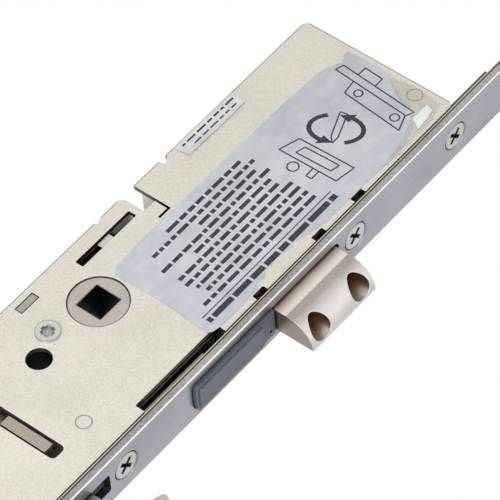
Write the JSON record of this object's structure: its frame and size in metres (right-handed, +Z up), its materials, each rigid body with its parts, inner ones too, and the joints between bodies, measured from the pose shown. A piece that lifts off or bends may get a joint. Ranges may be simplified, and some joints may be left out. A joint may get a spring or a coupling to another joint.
{
  "type": "multipoint door lock case",
  "caption": "Mortice lock case on a narrow faceplate, with a sprung latch, a geared hook bolt, a split spindle follower, drive rails and a profile cylinder cut-out.",
  "frame": {"origin": "on the seat at the back of the faceplate, midway between the two door screws and level with the spindle", "axes": "+X out of the faceplate, +Z up along the faceplate, -Y towards the side with the labels"},
  "size_m": [0.0718, 0.0163, 0.293],
  "materials": {
    "stainless": "brushed stainless steel",
    "plated_steel": "pale zinc plated sheet",
    "dark_steel": "dull plated steel",
    "nickel": "satin nickel plate",
    "spring_steel": "bright steel",
    "grey_plastic": "moulded, satin",
    "film": "thin printed film, crinkled",
    "white_film": "thin white film"
  },
  "bodies": {
    "case": {"faceplate": "stainless", "case_base": "plated_steel", "case_cover": "plated_steel", "case_wall": "plated_steel", "star_posts": "plated_steel", "handle_bush": "dark_steel", "screw_blocks": "dark_steel", "pillar_rivets": "plated_steel", "faceplate_screws": "nickel", "case_screws": "nickel", "latch_insert": "grey_plastic", "hook_pivot": "dark_steel", "idler_pin": "dark_steel", "instruction_label": "film", "inspection_label": "white_film", "return_spring": "spring_steel"},
    "drive": {"drive_slide": "dark_steel", "upper_rail": "dark_steel", "lower_rail": "dark_steel", "rail_rivets": "nickel"},
    "near_follower": {"near_follower": "nickel"},
    "return_slide": {"return_slide": "spring_steel"},
    "idler": {"idler_gear": "nickel"},
    "hook": {"hook": "nickel", "hook_pinion": "nickel"},
    "latch": {"latch_head": "nickel", "latch_screws": "dark_steel", "latch_carriage": "dark_steel", "latch_spring": "spring_steel"},
    "far_follower": {"far_follower": "nickel"},
    "locking_bar": {"locking_bar": "plated_steel"}
  },
  "joints": [
    {"name": "drive", "type": "slide", "parent": "case", "child": "drive", "axis": [0, 0, 1], "range_m": [0, 0.014]},
    {"name": "near_follower", "type": "hinge", "parent": "case", "child": "near_follower", "pos_m": [-0.0325, 0, 0], "axis": [0, -1, 0], "range_deg": [0, 39.32]},
    {"name": "return_slide", "type": "slide", "parent": "case", "child": "return_slide", "axis": [0, 0, 1], "range_m": [-0.00659, 0], "deforming": ["return_spring"]},
    {"name": "idler", "type": "hinge", "parent": "case", "child": "idler", "pos_m": [-0.0125, 0, -0.0647], "axis": [0, -1, 0], "range_deg": [0, 148.55]},
    {"name": "hook", "type": "hinge", "parent": "case", "child": "hook", "pos_m": [-0.0179, 0, -0.052], "axis": [0, 1, 0], "range_deg": [0, 95.49]},
    {"name": "latch", "type": "slide", "parent": "case", "child": "latch", "axis": [1, 0, 0], "range_m": [-0.012, 0], "stiffness_N_per_m": 250, "springref_m": 0.012, "deforming": ["latch_spring"]},
    {"name": "far_follower", "type": "hinge", "parent": "case", "child": "far_follower", "pos_m": [-0.0325, 0, 0], "axis": [0, -1, 0], "range_deg": [0, 38.2]},
    {"name": "locking_bar", "type": "slide", "parent": "case", "child": "locking_bar", "axis": [1, 0, 0], "range_m": [0, 0.003]}
  ],
  "couplings": [
    {"joint": "near_follower", "follows": "drive", "rad_per_m": 49.02},
    {"joint": "return_slide", "follows": "drive", "ratio": -0.47059},
    {"joint": "idler", "follows": "drive", "rad_per_m": 185.19},
    {"joint": "hook", "follows": "drive", "rad_per_m": 119.05},
    {"joint": "far_follower", "follows": "latch", "rad_per_m": -55.556}
  ]
}
